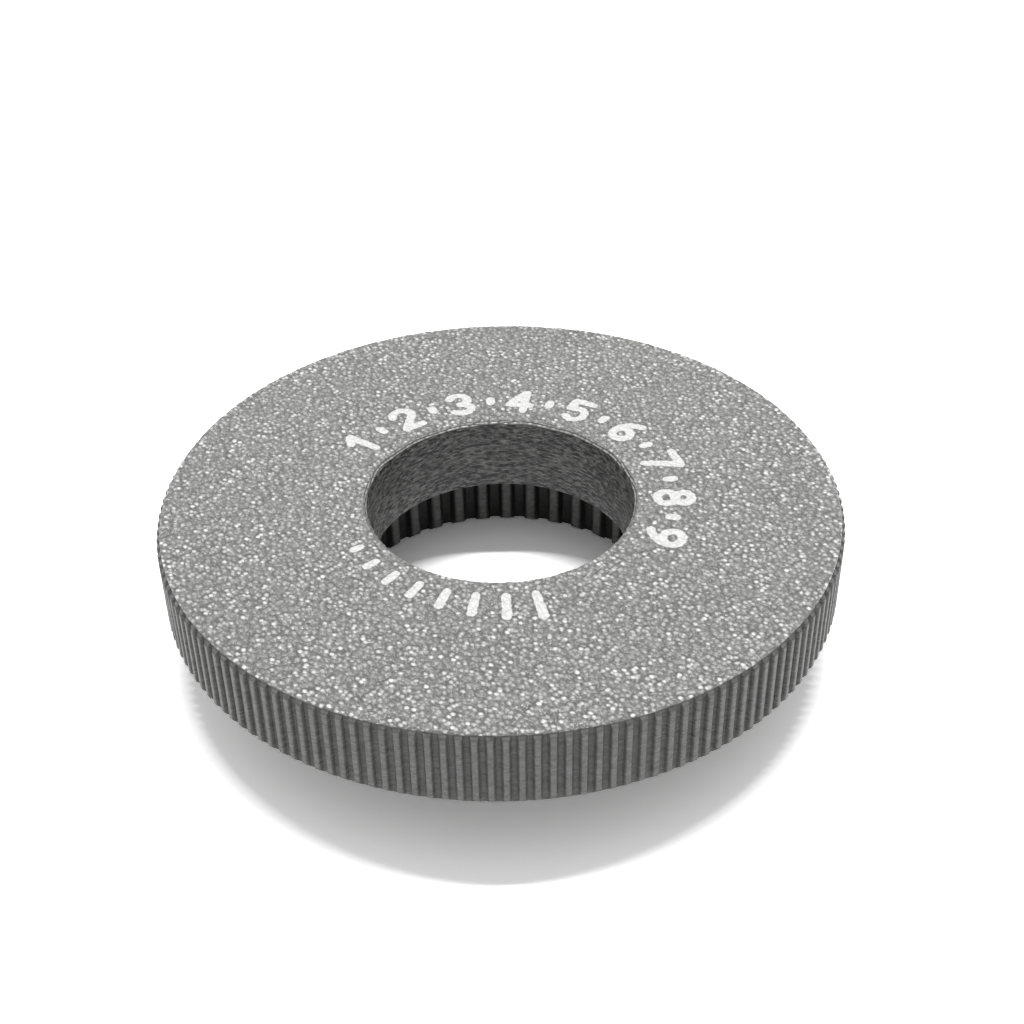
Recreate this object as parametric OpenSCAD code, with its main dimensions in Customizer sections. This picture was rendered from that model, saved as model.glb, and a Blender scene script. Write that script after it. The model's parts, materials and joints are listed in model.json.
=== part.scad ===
// Slip-on lens gear: a printed disc with fine teeth round its rim, and a hub whose toothed
// socket pushes over a coarser drive gear, so that the drive gear can turn a fine-pitch ring.
// It stands on the hub's end face, and the origin is at the centre of that face.

/* [Rim teeth] */
// Number of teeth round the rim
rim_teeth = 160; // [100:1:200]
// Module of the rim teeth: pitch diameter over tooth count
rim_module = 0.4; // [0.35:0.01:0.5]
// Height of a rim tooth, from foot to crest
rim_tooth_h = 0.45; // [0.35:0.01:0.9]
// How far the printed strand stands out from the true flank of a rim tooth
rim_swell = 0.06; // [0:0.01:0.08]
// Radius that rounds the crest of a rim tooth
rim_crest_round = 0.12; // [0.04:0.01:0.14]
// Radius that fills the corner at the foot of a rim tooth
rim_foot_round = 0.1; // [0.04:0.01:0.12]

/* [Disc] */
// Thickness of the toothed disc
disc_h = 7.75; // [4:0.05:12]
// Bevel round the top and bottom edges of the disc
rim_chamfer = 0.5; // [0.1:0.05:0.8]

/* [Bore] */
// Diameter of the smooth bore through the disc
bore_d = 25.5; // [12:0.1:30]
// Bevel round the top edge of the bore
bore_chamfer = 0.4; // [0.1:0.05:1]

/* [Drive socket] */
// Number of teeth on the drive gear that the socket takes
socket_teeth = 40; // [36:1:50]
// Module of that drive gear
socket_module = 0.8; // [0.75:0.01:1]
// Gap left all round the drive gear's teeth
socket_clearance = 0.3; // [0.05:0.01:0.35]
// Height of the socket's own teeth, from foot to crest
socket_tooth_h = 0.7; // [0.5:0.01:1.3]
// Radius that rounds the crest of a socket tooth
socket_crest_round = 0.2; // [0.05:0.01:0.25]
// Radius that fills the corner at the foot of a socket tooth
socket_foot_round = 0.15; // [0.05:0.01:0.2]
// Bevel on the teeth at the mouth of the socket, which leads the drive gear in
socket_chamfer = 0.4; // [0.1:0.05:0.6]
// Depth of the socket from the hub's end face
socket_depth = 7.5; // [3:0.1:12]

/* [Hub] */
// How far the hub stands out below the disc
hub_h = 7.5; // [4:0.05:12]
// Wall of the hub outside the socket's teeth
hub_wall = 3; // [1.5:0.1:8]

/* [Hidden] */

// Pressure angle of both sets of teeth
pressure_angle = 20;
// Height of a full tooth above its pitch circle, in modules
addendum = 1;
// Points between the ends of a flank
rim_flank_points = 0;
socket_flank_points = 2;
// Straight pieces in the round of a tooth's outer and inner corner
outer_pieces = 2;
inner_pieces = 1;
// How far a cut runs past the face that it opens
cut_past = 1;
$fn = 180;

total_h = hub_h + disc_h;
bore_r = bore_d / 2;
rim_pitch_r = rim_teeth * rim_module / 2;
rim_tip_r = rim_pitch_r + addendum * rim_module;
rim_foot_r = rim_tip_r - rim_tooth_h;
socket_pitch_r = socket_teeth * socket_module / 2;
socket_foot_r = socket_pitch_r + addendum * socket_module + socket_clearance;
socket_crest_r = socket_foot_r - socket_tooth_h;
hub_r = socket_foot_r + hub_wall;

// Involute function, in degrees
function involute(angle) = tan(angle) * 180 / PI - angle;

// Lean of an involute flank where it crosses radius r
function flank_lean(pitch_r, r) = acos(min(1, pitch_r * cos(pressure_angle) / r));

// Half the angle that a tooth fills at radius r; widen moves each flank out from the tooth
function half_tooth(teeth, pitch_r, widen, r) =
    90 / teeth + widen / pitch_r * 180 / PI
    + involute(pressure_angle) - involute(flank_lean(pitch_r, r));

// Point at radius r, turned by angle from the tooth's middle line
function polar(r, angle) = [r * sin(angle), r * cos(angle)];

// Arc that rounds one corner of a tooth, starting on the flank.
// side is 1 for the outer corner, where the arc ends on the tip circle, and -1 for the
// inner corner, where it ends on the circle that the teeth stand on.
function corner_arc(teeth, pitch_r, widen, r, round, side, pieces) =
    let (
        centre_r = r - side * round,
        lean = flank_lean(pitch_r, centre_r),
        flank = half_tooth(teeth, pitch_r, widen, centre_r),
        inset = round / cos(lean) / centre_r * 180 / PI,
        centre = polar(centre_r, flank - side * inset)
    )
    [
        for (k = [0 : pieces])
            let (turn = lean + (90 - lean) * k / pieces - flank)
            centre + side * round * [cos(turn), sin(turn)]
    ];

// Right-hand side of a tooth, from the gap beside it up to the tip
function tooth_side(teeth, pitch_r, inner_r, outer_r, widen, inner_round, outer_round, points) =
    let (
        inner = corner_arc(teeth, pitch_r, widen, inner_r, inner_round, -1, inner_pieces),
        outer = corner_arc(teeth, pitch_r, widen, outer_r, outer_round, 1, outer_pieces),
        low_r = norm(inner[0]),
        high_r = norm(outer[0])
    )
    concat(
        [for (k = [inner_pieces : -1 : 0]) inner[k]],
        [
            for (k = [1 : 1 : points])
                let (r = low_r + (high_r - low_r) * k / (points + 1))
                polar(r, half_tooth(teeth, pitch_r, widen, r))
        ],
        outer
    );

// Closed outline of a gear with round-cornered involute teeth, one tooth on the Y axis
function gear_outline(teeth, pitch_r, inner_r, outer_r, widen, inner_round, outer_round, points) =
    let (
        right = tooth_side(
            teeth, pitch_r, inner_r, outer_r, widen, inner_round, outer_round, points
        ),
        last = len(right) - 1,
        tooth = concat(
            [for (p = right) [-p.x, p.y]],
            [for (k = [last : -1 : 0]) right[k]]
        )
    )
    [
        for (n = [0 : teeth - 1], p = tooth)
            let (a = 360 * n / teeth)
            [p.x * cos(a) + p.y * sin(a), p.y * cos(a) - p.x * sin(a)]
    ];

// Disc and hub turned as one round blank, with the bore, the bevels of the rim and the bore,
// and the cone at the socket's mouth
module turned_blank() {
    mouth_h = socket_chamfer + cut_past;
    rotate_extrude()
        polygon([
            [bore_r, mouth_h],
            [socket_crest_r - cut_past, mouth_h],
            [socket_crest_r + socket_chamfer, 0],
            [hub_r, 0],
            [hub_r, hub_h],
            [rim_tip_r - rim_chamfer, hub_h],
            [rim_tip_r + cut_past, hub_h + rim_chamfer + cut_past],
            [rim_tip_r + cut_past, total_h - rim_chamfer - cut_past],
            [rim_tip_r - rim_chamfer, total_h],
            [bore_r + bore_chamfer, total_h],
            [bore_r, total_h - bore_chamfer]
        ]);
}

// Space that the drive gear pushes into
module drive_socket() {
    translate([0, 0, -cut_past])
        linear_extrude(socket_depth + cut_past)
            polygon(gear_outline(
                socket_teeth, socket_pitch_r, socket_crest_r, socket_foot_r, socket_clearance,
                socket_crest_round, socket_foot_round, socket_flank_points
            ));
}

// Column with the outline of the rim teeth, a little taller than the part
module rim_column() {
    translate([0, 0, -cut_past])
        linear_extrude(total_h + 2 * cut_past)
            polygon(gear_outline(
                rim_teeth, rim_pitch_r, rim_foot_r, rim_tip_r, rim_swell,
                rim_foot_round, rim_crest_round, rim_flank_points
            ));
}

module lens_gear() {
    color("dimgray")
        intersection() {
            difference() {
                turned_blank();
                drive_socket();
            }
            rim_column();
        }
}

lens_gear();
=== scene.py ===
# %% [markdown]
# # A printed lens gear on a white table
# The CAD model is one solid: a disc with fine teeth, a bore, and a hub with a toothed socket.
# It stays exactly as it is and carries every size. This script adds what a CAD solid cannot
# show: the pebbled face that a textured print bed leaves, the white filling of the marks,
# the fine lines of the printed layers, and the light of a product picture.

import json
import math

import bpy
import numpy as np
from mathutils import Matrix, Vector


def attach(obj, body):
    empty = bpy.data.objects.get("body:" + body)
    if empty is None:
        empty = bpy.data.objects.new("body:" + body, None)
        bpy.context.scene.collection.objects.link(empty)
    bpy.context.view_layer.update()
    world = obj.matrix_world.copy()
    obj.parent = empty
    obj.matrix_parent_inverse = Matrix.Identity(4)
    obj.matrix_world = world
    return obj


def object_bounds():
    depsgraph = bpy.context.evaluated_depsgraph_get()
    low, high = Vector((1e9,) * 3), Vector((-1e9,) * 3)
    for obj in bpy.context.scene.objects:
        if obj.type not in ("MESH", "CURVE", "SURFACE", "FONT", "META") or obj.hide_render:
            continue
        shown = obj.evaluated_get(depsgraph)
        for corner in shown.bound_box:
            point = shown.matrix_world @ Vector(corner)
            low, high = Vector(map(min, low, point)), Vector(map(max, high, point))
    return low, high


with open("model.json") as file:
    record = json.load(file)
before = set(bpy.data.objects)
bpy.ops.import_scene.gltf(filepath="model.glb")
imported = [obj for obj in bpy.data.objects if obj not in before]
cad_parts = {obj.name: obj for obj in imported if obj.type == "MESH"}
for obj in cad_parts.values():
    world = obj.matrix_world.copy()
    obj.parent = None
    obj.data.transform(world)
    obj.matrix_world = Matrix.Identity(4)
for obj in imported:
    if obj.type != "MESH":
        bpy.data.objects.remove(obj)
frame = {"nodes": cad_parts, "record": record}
cad_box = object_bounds()
gear = frame["nodes"]["lens_gear"]
print("CAD box in metres:", cad_box)

# %% [markdown]
# ## Sizes taken from the frame
# Every piece here sits on the CAD solid, so its place is worked out from the part's own box and
# from its bore, which the record states as a mount. What the frame does not give is repeated as
# a real size: the two bevels round the top face here, and the circles of the teeth further down.

# %% Sizes
MM = 0.001
bore_mount = next(m for m in frame["record"]["mounts"] if m["name"] == "bore")
bore_r = bore_mount["dims"]["r_mm"] * MM
bore_bevel, rim_bevel = 0.4 * MM, 0.5 * MM
top_z = cad_box[1][2]
tip_r = cad_box[1][0]
face_inner_r = bore_r + bore_bevel
face_outer_r = tip_r - rim_bevel
print("top face at", top_z, "from radius", face_inner_r, "to", face_outer_r)

# %% [markdown]
# ## A mesh from a grid
# A surface is a function of two parameters, so its points form a grid of rows and columns.
# Around the axis the last column joins the first again. Joined along the rows too, the grid
# becomes a ring-shaped shell with no open edge. Spinning a profile could make such a ring as
# well, but it would be the same all the way round, and a pebbled face is nowhere the same.

# %% Grid helpers
def add_object(name, data):
    """Puts a mesh, a lamp or a camera into the scene as an object of that name."""
    thing = bpy.data.objects.new(name, data)
    bpy.context.scene.collection.objects.link(thing)
    return thing


def ring_mesh(name, points):
    """Mesh of a closed ring: points[row, column] joins to the next row and the next column,
    and both the last row and the last column join to the first."""
    rows, columns, _ = points.shape
    corner = np.arange(rows * columns).reshape(rows, columns)
    right = np.roll(corner, -1, axis=1)
    above, above_right = np.roll(corner, -1, axis=0), np.roll(right, -1, axis=0)
    quads = np.stack([corner, right, above_right, above], axis=-1)
    mesh = bpy.data.meshes.new(name)
    mesh.from_pydata(points.reshape(-1, 3), [], quads.reshape(-1, 4))
    mesh.shade_smooth()
    return add_object(name, mesh)


# %% [markdown]
# ## The pebbles
# The disc was printed with this face down, on a bed with a coarse powder coat. The plastic
# flowed round the grains, so the face is a crowd of small glossy pebbles. A bump map alone
# would keep the surface flat in a close view, so the pebbles are real: each grain is a low
# dome, and the highest dome at a point gives the height there.

# %% Pebble heights
pebble_seed = 7
grain_rng = np.random.default_rng(pebble_seed)
smallest_pebble = 0.35
pebble_spread = 0.95
spare_squares = 6


def pebble_height(x, y, spacing):
    """Height from 0 to 1. Each square of side spacing holds one grain at a random place and of
    a random size; the height is the largest of size * (1 - (distance / reach) ** 2)."""
    reach = pebble_spread * spacing
    count = int(2 * tip_r / spacing) + spare_squares
    place = grain_rng.random((count, count, 2))
    size = grain_rng.uniform(smallest_pebble, 1.0, (count, count))
    gx = x / spacing + count / 2
    gy = y / spacing + count / 2
    column = np.floor(gx).astype(int)
    row = np.floor(gy).astype(int)
    height = np.zeros_like(x)
    for step_x in (-1, 0, 1):
        for step_y in (-1, 0, 1):
            i, j = column + step_x, row + step_y
            far_x = (i + place[i, j, 0] - gx) * spacing
            far_y = (j + place[i, j, 1] - gy) * spacing
            dome = size[i, j] * (1 - (far_x ** 2 + far_y ** 2) / reach ** 2)
            height = np.maximum(height, dome)
    return height


# %% [markdown]
# ## Rings that roll over the edges
# The face is a flat ring, and where it meets a bevel the printed edge is soft. A chamfer would
# give a hard line there, so the fall of the edge is one smooth curve. Rings of points run round
# the axis: evenly spaced over the face, and close together where it rolls over.

# %% Rings and their fall
face_rows, inner_rows, outer_rows = 84, 16, 6
roll_start = 0.05 * MM
inner_roll, outer_roll = 0.39 * MM, 0.15 * MM
roll_softness = 0.02 * MM


def skin_radii():
    """Radii of the rings: even steps over the face, and short steps where it rolls over."""
    begin, stop = face_inner_r + roll_start, face_outer_r - roll_start
    inner = np.linspace(face_inner_r - inner_roll, begin, inner_rows, endpoint=False)
    outer = np.linspace(face_outer_r + outer_roll, stop, outer_rows, endpoint=False)[::-1]
    return np.concatenate([inner, np.linspace(begin, stop, face_rows), outer])


def roll_drop(past):
    """Fall of the face at a distance past its edge: none before it, then one in one, with a
    soft bend between, softness * log(1 + exp(past / softness))."""
    return roll_softness * np.logaddexp(0, past / roll_softness)


def roll_lean(past):
    """Slope of that fall, from 0 on the face to 1 on the bevel:
    (1 + tanh(past / (2 * softness))) / 2."""
    return (1 + np.tanh(past / (2 * roll_softness))) / 2


print("rings on the face:", len(skin_radii()))

# %% [markdown]
# ## Layers on the bore's bevel
# The layers of the print end one after another on the bevel of the bore, as fine, wandering
# ridges. They lie where the light glances along the edge, and a bump would leave that edge
# smooth, so they are real too: a row of parabolas down the bevel, one for each layer.

# %% Layer ridges
layer_mm = 0.2
wander_waves = (4, 9, 14)
ridge_wander = 0.25
ridge_waves = (61, 97, 163)
ridge_mean, ridge_swing = 0.75, 0.13


def layer_ridges(drop, angle):
    """Height from 0 to 1 of the layers that end at a bevel: one parabola for each layer that the
    surface has fallen, with three waves along it. Three slower waves make the layers wander."""
    wander = sum(np.sin(wave * angle + wave) for wave in wander_waves)
    layer = drop / (layer_mm * MM) + ridge_wander * wander
    across = 2 * (layer - np.floor(layer)) - 1
    turn = sum(np.sin(wave * angle + wave * np.floor(layer)) for wave in ridge_waves)
    return np.clip((1 - across ** 2) * (ridge_mean + ridge_swing * turn), 0, 1)


# %% [markdown]
# ## The pebbled skin
# Pebbles and ridges are one thin layer of plastic on the real face. The CAD mesh may not be
# changed, so they become a shell of their own: it lies a hair above the face, and its lower
# rings are sunk into the solid, so that no gap shows from any side.

# %% Points of the skin
skin_columns = 910
roll_clear = 0.04 * MM
skin_lift, skin_sink = 0.005 * MM, 0.3 * MM
pebble_spacing = 0.46 * MM
pebble_rise, pebble_fade = 0.095 * MM, 0.12 * MM
ridge_rise, ridge_full = 0.05 * MM, 0.06 * MM


def skin_points():
    """Rings at the height of the face, less its fall at both edges, where it rolls over on to
    the bevels. Pebbles stand out along the normal, and give way to layer ridges on the bore's
    bevel. Two more rings, sunk into the solid, close the shell. Gives the points, and from 0 to
    1 at each of them the ridge height and the share of the bore's bevel."""
    radius = skin_radii()[:, None]
    angle = np.linspace(0, 2 * np.pi, skin_columns, endpoint=False)[None, :]
    past_inner = face_inner_r - roll_clear - radius
    past_outer = radius - face_outer_r - roll_clear
    drop_inner = roll_drop(past_inner)
    lean = roll_lean(past_outer) - roll_lean(past_inner)
    pebbles = pebble_height(radius * np.cos(angle), radius * np.sin(angle), pebble_spacing)
    pebbles = pebbles * np.clip(1 - past_inner / pebble_fade, 0, 1)
    bevel = np.clip(past_inner / ridge_full, 0, 1)
    ridges = layer_ridges(drop_inner, angle) * bevel
    stand = (pebble_rise * pebbles + ridge_rise * ridges) / np.sqrt(1 + lean ** 2)
    stand[[0, -1]] = 0
    reach = radius + stand * lean
    height = top_z + skin_lift + stand - drop_inner - roll_drop(past_outer)
    top = np.stack([reach * np.cos(angle), reach * np.sin(angle), height], axis=-1)
    under = top[[-1, 0]].copy()
    under[0, :, :2] *= face_outer_r / radius[-1]
    under[1, :, :2] *= face_inner_r / radius[0]
    under[..., 2] = top_z - skin_sink - np.array([[0], [inner_roll]])
    fields = [ridges, np.broadcast_to(bevel, ridges.shape)]
    fields = [np.concatenate([field, field[[-1, 0]]]) for field in fields]
    return np.concatenate([top, under]), fields


# %% Pebbled skin
def store(piece, label, values):
    """Keeps one number for each point of a piece, under a name that a material can read."""
    piece.data.attributes.new(label, "FLOAT", "POINT").data.foreach_set("value", values.ravel())


face_points, face_fields = skin_points()
skin = ring_mesh("pebbled_face", face_points)
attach(skin, "root")
for label, field in zip(("ridge_height", "bevel_share"), face_fields):
    store(skin, label, field)
print("pebbled face:", len(skin.data.polygons) * 2, "triangles")

# %% [markdown]
# ## The marks
# A ring of plain numbers with a tick between each pair runs round the bore, and a row of bars
# that grow longer fills the free stretch at the front. On the real part such marks are a second
# plastic printed into the first layer, so they lie flush. Text objects would stand on the
# pebbles or sink into them. Here a mark is every point within half a pen width of a stroke, so
# each point of the skin stores its distance to the nearest stroke, and the material turns white
# where that distance is short enough.

# %% Pen strokes
arc_points = 13


def arc(x, y, wide, high, start, stop):
    """Points along an ellipse about (x, y), from one angle in degrees to another."""
    turn = np.radians(np.linspace(start, stop, arc_points))
    return np.stack([x + wide * np.cos(turn), y + high * np.sin(turn)], axis=-1)


def line(*points):
    """Points of a stroke with straight pieces."""
    return np.array(points, dtype=float)


# Strokes of 1 to 9, each one unit high: x runs to the right of the middle, and y up from the foot.
numerals = [
    [line((-0.14, 0.72), (0.08, 0.92), (0.08, 0.08))],
    [np.concatenate([arc(0, 0.68, 0.25, 0.24, 165, -35), line((-0.27, 0.08), (0.28, 0.08))])],
    [arc(-0.03, 0.7, 0.23, 0.22, 150, -90), arc(-0.03, 0.28, 0.28, 0.2, 90, -150)],
    [line((0.12, 0.08), (0.12, 0.92), (-0.28, 0.34), (0.29, 0.34))],
    [np.concatenate([
        line((0.24, 0.92), (-0.18, 0.92), (-0.22, 0.54)), arc(0, 0.33, 0.27, 0.26, 125, -140),
    ])],
    [arc(0, 0.32, 0.25, 0.24, 0, 360), arc(0.3, 0.36, 0.55, 0.56, 185, 105)],
    [line((-0.26, 0.92), (0.28, 0.92), (-0.06, 0.08))],
    [arc(0, 0.71, 0.2, 0.2, 0, 360), arc(0, 0.29, 0.26, 0.22, 0, 360)],
    [arc(0, 0.68, 0.25, 0.24, 0, 360), arc(-0.3, 0.64, 0.55, 0.56, 5, -75)],
]
print("numerals drawn:", len(numerals))

# %% Places of the marks
mark_base_r = 14.6 * MM
mark_height = 3.9 * MM
dial_start, dial_stop = math.radians(144), math.radians(-27)
tick_foot, tick_top = 0.42, 0.58
bars_start, bars_stop = math.radians(208), math.radians(279)
bar_count = 8
bar_foot, first_bar_top, bar_growth = 0.1, 0.25, 0.65


def marks():
    """Each mark as (angle of its middle, strokes in metres): numbers and ticks on the dial,
    bars at the front. Strokes run along the ring to the right and up away from the bore."""
    tick = [line((0, tick_foot), (0, tick_top))]
    steps = 2 * len(numerals) - 1
    for step in range(steps):
        angle = dial_start + (dial_stop - dial_start) * step / (steps - 1)
        strokes = tick if step % 2 else numerals[step // 2]
        yield angle, [stroke * mark_height for stroke in strokes]
    for bar in range(bar_count):
        share = bar / (bar_count - 1)
        angle = bars_start + (bars_stop - bars_start) * share
        yield angle, [line((0, bar_foot), (0, first_bar_top + bar_growth * share)) * mark_height]


print("marks placed:", len(list(marks())))

# %% Distance to the marks
mark_reach = 2.5 * MM
half_pen = 0.44


def stroke_distance(along, up, stroke):
    """Distance from each point to the nearest straight piece of one stroke."""
    point = np.stack([along, up], axis=-1)[:, None, :]
    begin, piece = stroke[None, :-1], np.diff(stroke, axis=0)[None]
    share = ((point - begin) * piece).sum(-1) / (piece ** 2).sum(-1)
    nearest = begin + np.clip(share, 0, 1)[..., None] * piece
    return np.sqrt(((point - nearest) ** 2).sum(-1)).min(axis=1)


def mark_distance(points):
    """Distance in millimetres from each point to the nearest stroke, up to mark_reach."""
    up = np.hypot(points[:, 0], points[:, 1]) - mark_base_r
    angle = np.arctan2(points[:, 1], points[:, 0])
    in_band = (up > -mark_reach) & (up < mark_height + mark_reach)
    distance = np.full(len(points), mark_reach)
    for middle, strokes in marks():
        turn = np.angle(np.exp(1j * (middle - angle)))
        along = turn * (mark_base_r + mark_height / 2)
        near = in_band & (np.abs(along) < mark_reach)
        for stroke in strokes:
            to_stroke = stroke_distance(along[near], up[near], stroke)
            distance[near] = np.minimum(distance[near], to_stroke)
    return distance / MM


face_distance = mark_distance(face_points.reshape(-1, 3))
store(skin, "mark_distance", face_distance)
print("points inside a mark:", int((face_distance < half_pen).sum()))

# %% [markdown]
# ## Shader helpers
# A node tree is easier to read when one short call adds a node, sets its values and joins its
# inputs. Materials here work in millimetres: Object coordinates are in metres, and a scale of
# a thousand at the start keeps every later number at its real size.

# %% Node helpers
def set_inputs(tree, node, inputs):
    """Joins each value that is a socket to the input of that name, and sets any other value."""
    for key, value in inputs.items():
        if isinstance(value, bpy.types.NodeSocket):
            tree.links.new(value, node.inputs[key])
        else:
            node.inputs[key].default_value = value


def add_node(tree, kind, inputs=None, **settings):
    """Adds one node with its settings and its inputs."""
    node = tree.nodes.new("ShaderNode" + kind)
    for key, value in settings.items():
        setattr(node, key, value)
    set_inputs(tree, node, inputs or {})
    return node


def math_node(tree, operation, *values):
    """One Math node; returns its output socket."""
    return add_node(tree, "Math", dict(enumerate(values)), operation=operation).outputs[0]


def vector_node(tree, operation, inputs, output="Vector"):
    """One Vector Math node; returns an output socket."""
    return add_node(tree, "VectorMath", inputs, operation=operation).outputs[output]


def noise(tree, place, scale, detail, roughness=0.5):
    """A noise of values from 0 to 1, mostly near a half; returns its output socket."""
    inputs = {"Vector": place, "Scale": scale, "Detail": detail, "Roughness": roughness}
    return add_node(tree, "TexNoise", inputs).outputs[0]


# %% Shape helpers
def opposite(tree, value):
    """1 less a value, which turns a mask round."""
    return math_node(tree, "SUBTRACT", 1.0, value)


def parabola(tree, value):
    """1 less the square of a value: a round top at 0, and nothing at -1 and 1."""
    return opposite(tree, math_node(tree, "MULTIPLY", value, value))


def flatten(tree, place):
    """A place without its height."""
    return vector_node(tree, "MULTIPLY", {0: place, 1: (1.0, 1.0, 0.0)})


def axis_distance(tree, place):
    """Distance of a place from the gear's axis: the length of its vector without the height."""
    return vector_node(tree, "LENGTH", {0: flatten(tree, place)}, "Value")


# %% Groups and materials
def new_group(name, inputs, outputs):
    """An empty shader group with named sockets; returns it, what it is given and its last node."""
    group = bpy.data.node_groups.new(name, "ShaderNodeTree")
    for label, kind in inputs.items():
        group.interface.new_socket(label, in_out="INPUT", socket_type=kind)
    for label, kind in outputs.items():
        group.interface.new_socket(label, in_out="OUTPUT", socket_type=kind)
    given = group.nodes.new("NodeGroupInput").outputs
    return group, given, group.nodes.new("NodeGroupOutput")


def place_group(tree, group, inputs):
    """Puts a group into a material with its own inputs; returns its outputs."""
    return add_node(tree, "Group", inputs, node_tree=group).outputs


def new_material(name):
    """A material, its node tree and its Principled BSDF."""
    material = bpy.data.materials.new(name)
    material.use_nodes = True
    return material, material.node_tree, material.node_tree.nodes["Principled BSDF"]


def place_in_mm(tree):
    """Object coordinates in millimetres."""
    place = add_node(tree, "TexCoord").outputs["Object"]
    return vector_node(tree, "SCALE", {0: place, "Scale": 1 / MM})


# %% [markdown]
# ## Fine grain on the pebbles
# Between the large pebbles the bed leaves smaller ones, too small to model. A Voronoi texture
# gives rounded cells of any size, with a low dome in each, and a noise breaks their rows. Each
# cell also gets a chance from 0 to 1, so that a material can treat some grains in another way.
# The face uses the group twice, for grains of half a millimetre and for dust of a quarter.

# %% Grain group
FLOAT, VECTOR = "NodeSocketFloat", "NodeSocketVector"
grain_group, given, result = new_group(
    "bed_grain", {"Place": VECTOR, "Size": FLOAT}, {"Height": FLOAT, "Chance": FLOAT}
)
grain_reach = 0.75
grain_uneven, grain_detail = 0.4, 2.0
per_mm = math_node(grain_group, "DIVIDE", 1.0, given["Size"])
cells = add_node(
    grain_group, "TexVoronoi", {"Vector": given["Place"], "Scale": per_mm}, feature="F1"
).outputs
rough = noise(grain_group, given["Place"], per_mm, grain_detail)
share = math_node(grain_group, "DIVIDE", cells["Distance"], grain_reach)
dome = math_node(grain_group, "MAXIMUM", parabola(grain_group, share), 0.0)
set_inputs(grain_group, result, {
    "Height": math_node(grain_group, "MULTIPLY_ADD", rough, grain_uneven, dome),
    "Chance": add_node(grain_group, "SeparateColor", {0: cells["Color"]}).outputs[0],
})
print("grain group:", len(grain_group.nodes), "nodes")

# %% [markdown]
# ## Printed strands
# Every wall is a stack of flattened strands, and every level face is a row of them. Across a
# strand the surface bulges and falls back, so its height follows a parabola. Along one strand
# the flow swells and thins, in its own way on each strand, and a fine fuzz lies over all of it.
# A wave texture would repeat itself, so one group works this out from the distance across the
# strands and their width.

# %% Strand group
strand_group, given, result = new_group(
    "printed_strands",
    {"Place": VECTOR, "Across": FLOAT, "Width": FLOAT, "Bulge": FLOAT},
    {"Height": FLOAT, "Tone": FLOAT},
)
level = math_node(strand_group, "DIVIDE", given["Across"], given["Width"])
share = math_node(strand_group, "FRACT", level)
bead = parabola(strand_group, math_node(strand_group, "MULTIPLY_ADD", share, 2.0, -1.0))
print("bead of a strand:", len(strand_group.nodes), "nodes")

# %% Swell and fuzz of a strand
strand_shift = 7.3
swell_scale, fuzz_scale = 1.3, 1.0
strand_detail = 3.0
fuzz_stretch, fuzz_roughness = (2.0, 2.0, 8.0), 0.65
number = math_node(strand_group, "FLOOR", level)
shift = math_node(strand_group, "MULTIPLY", number, strand_shift)
own_place = add_node(strand_group, "CombineXYZ", {"Z": shift}).outputs[0]
along = vector_node(strand_group, "ADD", {0: flatten(strand_group, given["Place"]), 1: own_place})
swell = noise(strand_group, along, swell_scale, strand_detail)
drawn = vector_node(strand_group, "MULTIPLY", {0: given["Place"], 1: fuzz_stretch})
fuzz = noise(strand_group, drawn, fuzz_scale, strand_detail, fuzz_roughness)
uneven = math_node(strand_group, "ADD", swell, fuzz)
print("with swell and fuzz:", len(strand_group.nodes), "nodes")

# %% What the strands put out
swell_tone, fuzz_tone, bead_tone = 0.9, 0.4, 0.15
fuzzy = math_node(strand_group, "MULTIPLY", fuzz, fuzz_tone)
blotch = math_node(strand_group, "MULTIPLY_ADD", swell, swell_tone, fuzzy)
set_inputs(strand_group, result, {
    "Height": math_node(strand_group, "MULTIPLY_ADD", bead, given["Bulge"], uneven),
    "Tone": math_node(strand_group, "MULTIPLY_ADD", bead, bead_tone, blotch),
})
print("strand group:", len(strand_group.nodes), "nodes")

# %% [markdown]
# ## Grey print on the CAD solid
# The solid keeps its own mesh and gets the print's finish. Its upright walls show layers, its
# level faces show the wider strands of a filled layer, laid slantwise, and its bevels show the
# ends of layers. A material for each kind of face would mean cutting up the mesh. One material
# does it all: the object's own normal tells the three kinds apart, and the distance from the
# axis tells the bore from the rim.

# %% Masks of the wall
level_lean, bevel_lean = 0.9, 0.3
rim_foot_r = 31.95
bore_margin, rim_margin = 1.0, 0.3
grey_print, wall, wall_shader = new_material("grey_print")
wall_place = place_in_mm(wall)
normal = add_node(wall, "TexCoord").outputs["Normal"]
normal_z = add_node(wall, "SeparateXYZ", {0: normal}).outputs["Z"]
lean = math_node(wall, "ABSOLUTE", normal_z)
is_level = math_node(wall, "GREATER_THAN", lean, level_lean)
not_upright = math_node(wall, "GREATER_THAN", lean, bevel_lean)
is_bevel = math_node(wall, "SUBTRACT", not_upright, is_level)
distance = axis_distance(wall, wall_place)
in_bore = math_node(wall, "LESS_THAN", distance, bore_r / MM + bore_margin)
on_rim = math_node(wall, "GREATER_THAN", distance, rim_foot_r - rim_margin)
print("wall masks:", len(wall.nodes), "nodes")

# %% [markdown]
# ## Relief of the walls
# Layers are 0.2 mm high, and a filled layer's strands are about twice as wide. On a bevel the
# layers are steps, so they bulge far more. Modelled strands would need millions of faces, so a
# bump raises them. The rim's walls are the smoothest and the bore is the roughest.

# %% Relief of the wall
def choose(tree, mask, low, high):
    """A float Mix node: low where mask is 0 and high where it is 1."""
    inputs = {"Factor": mask, "A": low, "B": high}
    return add_node(tree, "Mix", inputs, data_type="FLOAT").outputs[0]


def bump(tree, height, rise):
    """A Bump node at full strength, where a height of 1 stands that rise above the surface."""
    return add_node(tree, "Bump", {"Strength": 1.0, "Distance": rise, "Height": height}).outputs[0]


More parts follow.
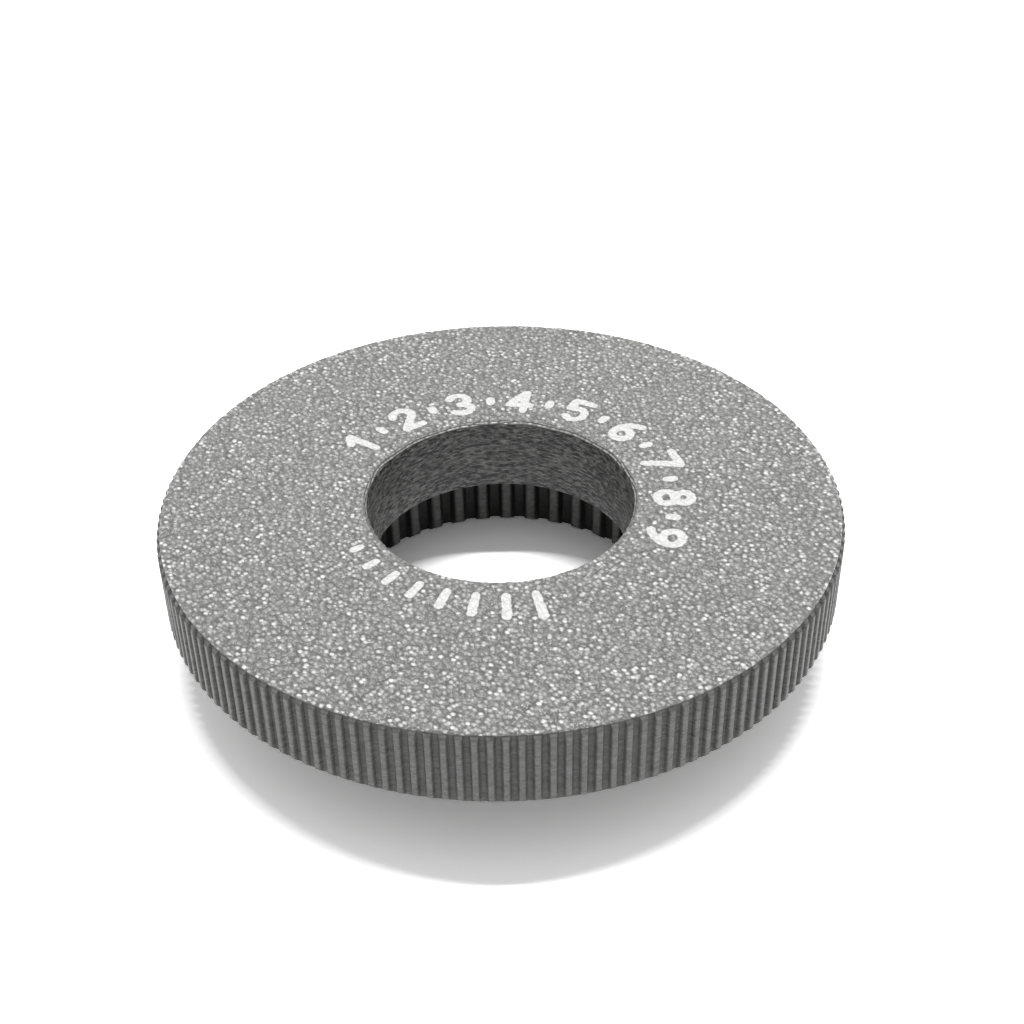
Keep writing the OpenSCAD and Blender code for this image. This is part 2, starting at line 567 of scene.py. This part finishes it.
strand_mm = 0.42
strand_relief = 0.1 * MM
wall_bulge, step_bulge = 0.3, 1.2
rim_relief, level_relief, bore_relief = 0.08, 0.5, 1.0
slant_share = math.sqrt(0.5)
axes = add_node(wall, "SeparateXYZ", {0: wall_place}).outputs
depth = math_node(wall, "SUBTRACT", top_z / MM, axes["Z"])
slant = math_node(wall, "MULTIPLY", math_node(wall, "ADD", axes["X"], axes["Y"]), slant_share)
strands = place_group(wall, strand_group, {
    "Place": wall_place,
    "Across": choose(wall, is_level, depth, slant),
    "Width": choose(wall, is_level, layer_mm, strand_mm),
    "Bulge": choose(wall, is_bevel, wall_bulge, step_bulge),
})
relief = choose(wall, in_bore, choose(wall, is_level, rim_relief, level_relief), bore_relief)
wall_height = math_node(wall, "MULTIPLY", strands["Height"], relief)
set_inputs(wall, wall_shader, {"Normal": bump(wall, wall_height, strand_relief)})
print("with relief:", len(wall.nodes), "nodes")

# %% [markdown]
# ## Mottled strands
# Where a strand swells the plastic looks pale, and where it thins it looks dark. In the bore
# this shows as strong mottling. On the rim and on level faces it is faint, so there the tone is
# drawn towards its middle. A colour ramp then turns the tone into greys, which keeps them all
# in one place.

# %% Tone of the strands
warm_blue = 0.98


def ramp(tree, value, stops):
    """A colour ramp of faintly warm greys from (position, grey) pairs; returns its colour."""
    node = add_node(tree, "ValToRGB", {"Fac": value})
    elements = node.color_ramp.elements
    while len(elements) < len(stops):
        elements.new(1.0)
    for element, (position, grey) in zip(elements, stops):
        element.position = position
        element.color = (grey, grey, grey * warm_blue, 1.0)
    return node.outputs["Color"]


tone_middle, rim_contrast, level_contrast = 0.75, 0.15, 0.3
strand_greys = [(0.66, 0.0), (0.82, 0.34), (1.0, 0.7)]
contrast = choose(wall, is_level, rim_contrast, level_contrast)
from_middle = math_node(wall, "SUBTRACT", strands["Tone"], tone_middle)
calm = math_node(wall, "MULTIPLY_ADD", from_middle, contrast, tone_middle)
lively = math_node(wall, "MULTIPLY", in_bore, opposite(wall, is_level))
strand_colour = ramp(wall, choose(wall, lively, calm, strands["Tone"]), strand_greys)
print("with mottled strands:", len(wall.nodes), "nodes")

# %% [markdown]
# ## Painted shade between the teeth
# Between the teeth the grey is painted darker, as painted shade, and the crests keep about their
# full grey. The lamp alone leaves such narrow gaps too bright. On the rim the distance from the
# axis tells crest from gap. In the socket a cosine of the angle, with one wave for each tooth,
# does the same over the ring that the teeth fill.

# %% Painted shade of the teeth
def fade(tree, value, low, high):
    """0 where value is low and 1 where it is high, in a straight line between."""
    inputs = {"Value": value, "From Min": low, "From Max": high}
    return add_node(tree, "MapRange", inputs).outputs[0]


socket_teeth = 40
socket_ring_r, socket_ring_half = 16.75, 0.45
gap_start, gap_full = -0.85, -0.25
groove_margin = 0.1
# painted shade: the socket's gaps at 0.14 and the rim's grooves at 0.62 of the crests' grey
crest_shade, painted_groove_shade, painted_gap_shade = 1.02, 0.62, 0.14
angle = math_node(wall, "ARCTAN2", axes["Y"], axes["X"])
swing = math_node(wall, "COSINE", math_node(wall, "MULTIPLY", angle, socket_teeth))
from_ring = math_node(wall, "ABSOLUTE", math_node(wall, "SUBTRACT", distance, socket_ring_r))
on_ring = math_node(wall, "LESS_THAN", from_ring, socket_ring_half)
in_gap = math_node(wall, "MULTIPLY", fade(wall, swing, gap_start, gap_full), on_ring)
past_crest = fade(wall, distance, tip_r / MM, rim_foot_r + groove_margin)
in_groove = math_node(wall, "MULTIPLY", past_crest, on_rim)
painted_rim_shade = choose(wall, in_groove, crest_shade, painted_groove_shade)
painted_teeth_shade = choose(wall, in_gap, painted_rim_shade, painted_gap_shade)
print("with shaded teeth:", len(wall.nodes), "nodes")

# %% Colour of the wall
# Painted shade and light: bevels outside the bore are painted darker, the bore's wall is painted
# darker as shade in the hole, and the bore's bevel is painted lighter as a painted highlight.
outer_bevel_painted_shade = 0.75
bore_painted_shade, bore_bevel_painted_light = 0.6, 1.4
bore_coat = 0.4
outside = choose(wall, is_bevel, painted_teeth_shade, outer_bevel_painted_shade)
inside = choose(wall, is_bevel, bore_painted_shade, bore_bevel_painted_light)
shade = choose(wall, in_bore, outside, inside)
set_inputs(wall, wall_shader, {
    "Base Color": vector_node(wall, "SCALE", {0: strand_colour, "Scale": shade}),
    "Coat Weight": choose(wall, in_bore, 0.0, bore_coat),
    "Coat Roughness": 0.3,
    "Roughness": 0.45,
    "Specular IOR Level": 0.25,
})
gear.data.materials[0] = grey_print
print("wall material on", gear.name, "with", len(wall.nodes), "nodes")

# %% [markdown]
# ## Relief of the pebbled face
# Two sizes of grain lie on the modelled pebbles. The molten strands of the first layer drew
# them out a little, so a Mapping node turns them to the strands' slant and stretches them. A
# stored share of the bevel clears them from the layer ridges, which have no grain.

# %% Relief of the face
def stored(tree, label):
    """The number that each point of the mesh keeps under a name."""
    return add_node(tree, "Attribute", attribute_name=label).outputs["Fac"]


grain_mm, dust_mm = 0.5, 0.24
grain_relief = 0.15 * MM
dust_share = 0.3
grain_turn, grain_stretch = (0.0, 0.0, math.radians(-45)), (1.1, 0.95, 1.0)
pebbled_print, face, face_shader = new_material("pebbled_print")
face_place = place_in_mm(face)
grain_place = add_node(
    face, "Mapping", {"Vector": face_place, "Rotation": grain_turn, "Scale": grain_stretch},
    vector_type="TEXTURE",
).outputs[0]
grain = place_group(face, grain_group, {"Place": grain_place, "Size": grain_mm})
dust = place_group(face, grain_group, {"Place": grain_place, "Size": dust_mm})
on_bevel = stored(face, "bevel_share")
grains = math_node(face, "MULTIPLY_ADD", dust["Height"], dust_share, grain["Height"])
face_height = choose(face, on_bevel, grains, 0.0)
set_inputs(face, face_shader, {"Normal": bump(face, face_height, grain_relief)})
print("face relief:", len(face.nodes), "nodes")

# %% [markdown]
# ## Edges of the marks
# The stored distance decides between the grey body and the white filling. A perfect line would
# look like a sticker, so a little noise moves the edge in and out, as where two plastics meet.
# Close round a mark the grey is darkened, down to a third, so a margin there loses its sparkle.

# %% Edges of the marks
edge_softness, edge_wander = 0.04, 0.25
ragged_scale, ragged_detail = 2.5, 2.0
noise_middle = 0.5
margin_width, margin_light = 0.3, 0.3
to_mark = stored(face, "mark_distance")
ragged = noise(face, face_place, ragged_scale, ragged_detail)
in_or_out = math_node(face, "SUBTRACT", ragged, noise_middle)
moved = math_node(face, "ADD", to_mark, math_node(face, "MULTIPLY", in_or_out, edge_wander))
inked = fade(face, moved, half_pen + edge_softness, half_pen - edge_softness)
past_margin = fade(face, to_mark, half_pen, half_pen + margin_width)
clear = choose(face, past_margin, margin_light, 1.0)
print("with edges of the marks:", len(face.nodes), "nodes")

# %% [markdown]
# ## Painted highlights and shade on the grains
# The bed leaves this face glossy, and its glints and shade are painted into the colour: pale
# caps on some grains as painted highlights, dark rings in the hollows round some as painted
# shade, and tiny pale specks on the dust grains as painted highlights. Chance picks which grains
# have them, a broad noise gathers the caps into clumps, and towards the rim, where the face rolls
# over, there are more of them. One noise over the whole face would look like clouds, not like
# grains.

# %% Pale caps: painted highlights
cap_start, cap_full = 0.8, 1.2
cap_contrast, cap_gain = 3.0, 1.6
clump_scale, clump_detail = 0.75, 2.0
clump_gain, clump_offset = 2.4, -1.0
edge_width, edge_gain = 1.2, 0.25
cap = fade(face, grain["Height"], cap_start, cap_full)
patches = noise(face, face_place, clump_scale, clump_detail)
clumps = math_node(face, "MULTIPLY_ADD", patches, clump_gain, clump_offset)
rare = math_node(face, "POWER", grain["Chance"], cap_contrast)
picked = math_node(face, "MULTIPLY_ADD", rare, cap_gain, clumps)
# more painted highlights towards the rim, where the face rolls over on to its bevel
rim_mm = face_outer_r / MM
near_edge = fade(face, axis_distance(face, face_place), rim_mm - edge_width, rim_mm)
shown = math_node(face, "MULTIPLY_ADD", near_edge, edge_gain, picked)
painted_caps = math_node(face, "MULTIPLY", cap, math_node(face, "MAXIMUM", shown, 0.0))
print("with pale caps:", len(face.nodes), "nodes")

# %% Dark rings and specks: painted shade and painted highlights
body_start, body_full = 0.2, 0.8
ring_start, ring_full = 0.2, 0.7
speck_start, speck_full = 0.7, 1.2
# ring_light is painted shade in the hollows; speck_light and cap_light are painted highlights
base_light, speck_light, ring_light, cap_light = 0.16, 0.25, -0.18, 0.52
body_share = fade(face, grain["Height"], body_start, body_full)
ringed = fade(face, grain["Chance"], ring_start, ring_full)
hollow = math_node(face, "MULTIPLY", opposite(face, body_share), ringed)
raised_dust = fade(face, dust["Height"], speck_start, speck_full)
speck = math_node(face, "MULTIPLY", raised_dust, dust["Chance"])
dusty = math_node(face, "MULTIPLY_ADD", speck, speck_light, base_light)
grainy = math_node(face, "MULTIPLY_ADD", hollow, ring_light, dusty)
capped = math_node(face, "MULTIPLY_ADD", painted_caps, cap_light, grainy)
lit = math_node(face, "MULTIPLY", capped, clear)
print("with dark rings and specks:", len(face.nodes), "nodes")

# %% [markdown]
# ## Colour of the pebbled face
# The grains go through one ramp, with their painted highlights and shade, and the ridges of the
# bevel through another, which paints their tops light and the creases between them dark, as
# painted highlight and shade. The white filling lies over both. A coat over the whole face would
# make it shine like a tile, so only the caps of the grains get a clear coat, which gives them
# their glints.

# %% Colour of the face
COLOUR_A, COLOUR_B, COLOUR_RESULT = 6, 7, 2


def mix_colours(tree, mask, low, high):
    """A colour Mix node: low where mask is 0 and high where it is 1. It keeps its colour sockets
    behind those for floats and vectors, so they are found by number."""
    inputs = {"Factor": mask, COLOUR_A: low, COLOUR_B: high}
    return add_node(tree, "Mix", inputs, data_type="RGBA").outputs[COLOUR_RESULT]


pebble_greys = [(0.0, 0.09), (0.25, 0.24), (0.85, 0.85)]
ridge_painted_light_and_shade = [(0.3, 0.02), (0.9, 0.5)]
filling_white = (0.82, 0.82, 0.81, 1.0)
pebbled = ramp(face, lit, pebble_greys)
painted_ridges = ramp(face, stored(face, "ridge_height"), ridge_painted_light_and_shade)
body = mix_colours(face, on_bevel, pebbled, painted_ridges)
set_inputs(face, face_shader, {
    "Base Color": mix_colours(face, inked, body, filling_white),
    "Coat Weight": choose(face, on_bevel, cap, 0.0),
    "Coat Roughness": 0.35,
    "Coat IOR": 1.8,
    "Roughness": 0.3,
    "IOR": 1.57,
    "Specular IOR Level": 0.9,
})
skin.data.materials.append(pebbled_print)
print("face material on", skin.name, "with", len(face.nodes), "nodes")

# %% [markdown]
# ## Table and room
# The part stands on a white table in a white room. More light would make them white, and would
# bleach the part as well. Light Path lets the camera, and whatever a gloss sends on, see them
# white, while the light that falls on the part stays plain. From below the table is see-through,
# so that the part can be looked at from there too.

# %% Table
def seen_directly(tree):
    """1 for a ray from the camera, or one that a gloss or a glass sends on, and 0 for the rest."""
    path = add_node(tree, "LightPath").outputs
    shiny = math_node(tree, "MAXIMUM", path["Is Glossy Ray"], path["Is Transmission Ray"])
    return math_node(tree, "MAXIMUM", path["Is Camera Ray"], shiny)


floor_half, floor_z = 1.5, -0.01 * MM
lit_grey, seen_white = (0.8, 0.8, 0.8, 1.0), (1.85, 1.85, 1.85, 1.0)
floor_mesh = bpy.data.meshes.new("floor")
sides = ((-1, -1), (1, -1), (1, 1), (-1, 1))
corners = [(x * floor_half, y * floor_half, floor_z) for x, y in sides]
floor_mesh.from_pydata(corners, [], [(0, 1, 2, 3)])
floor = add_object("floor", floor_mesh)
white_table, table, table_shader = new_material("white_table")
from_below = add_node(table, "NewGeometry").outputs["Backfacing"]
set_inputs(table, table_shader, {
    "Base Color": mix_colours(table, seen_directly(table), lit_grey, seen_white),
    "Alpha": opposite(table, from_below),
    "Roughness": 0.9,
    "Specular IOR Level": 0.0,
})
floor_mesh.materials.append(white_table)
print("table", 2 * floor_half, "metres wide")

# %% Room
room_light, seen_light = 0.5, 1.0
white_room = bpy.data.worlds.new("white_room")
white_room.use_nodes = True
bpy.context.scene.world = white_room
room = white_room.node_tree
set_inputs(room, room.nodes["Background"], {
    "Color": (1.0, 1.0, 1.0, 1.0),
    "Strength": choose(room, seen_directly(room), room_light, seen_light),
})
print("room light", room_light)

# %% [markdown]
# ## Lamp
# One long, narrow lamp hangs almost straight overhead, a little behind and to the right. A sun
# would draw every edge of the shadow crisp, and a square lamp would blur them all. A strip gives
# the shadow of the picture: crisp towards the front and soft to the sides. It lies along the
# picture's width, which is turned a little from the part's own X axis.

# %% Lamp
photo_turn = math.radians(-2.25)
lamp_distance, lamp_power = 2.0, 26.0
lamp_length, lamp_width = 0.9, 0.06
lamp_elevation = math.radians(82)
lamp_side = math.radians(12)
lamp_azimuth = math.radians(90) - lamp_side + photo_turn
lamp_data = bpy.data.lights.new("overhead_strip", "AREA")
lamp_data.shape = "RECTANGLE"
lamp_data.size, lamp_data.size_y = lamp_length, lamp_width
lamp_data.energy = lamp_power
lamp = add_object("overhead_strip", lamp_data)
lamp.location = (
    lamp_distance * math.cos(lamp_elevation) * math.cos(lamp_azimuth),
    lamp_distance * math.cos(lamp_elevation) * math.sin(lamp_azimuth),
    lamp_distance * math.sin(lamp_elevation),
)
lamp_back = lamp.location.normalized()
lamp_right = Vector((math.cos(photo_turn), math.sin(photo_turn), 0.0))
lamp_right = (lamp_right - lamp_right.dot(lamp_back) * lamp_back).normalized()
lamp_axes = Matrix((lamp_right, lamp_back.cross(lamp_right), lamp_back))
lamp.rotation_euler = lamp_axes.transposed().to_euler()
print("lamp at", tuple(lamp.location))

# %% [markdown]
# ## Camera
# The picture was taken from the front and from above. A camera can be placed by eye, but then
# the ellipses of the rim and the bore never quite agree. Here its place, aim, roll and lens come
# from a fit of those edges, so the render lies over the picture.

# %% Camera
camera_place = Vector((-4.80, -122.26, 104.71)) * MM
camera_aim = Vector((0.944, -2.655, top_z / MM)) * MM
camera_roll = math.radians(-0.977)
camera_data = bpy.data.cameras.new("camera")
camera_data.lens = 55.96
camera_data.sensor_width = 36.0
camera_data.clip_start = 5 * MM
camera = add_object("camera", camera_data)
look = (camera_aim - camera_place).to_track_quat("-Z", "Y").to_matrix()
rolled = look @ Matrix.Rotation(camera_roll, 3, "Z")
camera.matrix_world = Matrix.Translation(camera_place) @ rolled.to_4x4()
bpy.context.scene.camera = camera
bpy.context.scene.view_settings.view_transform = "Standard"
print("camera at", tuple(camera.location))
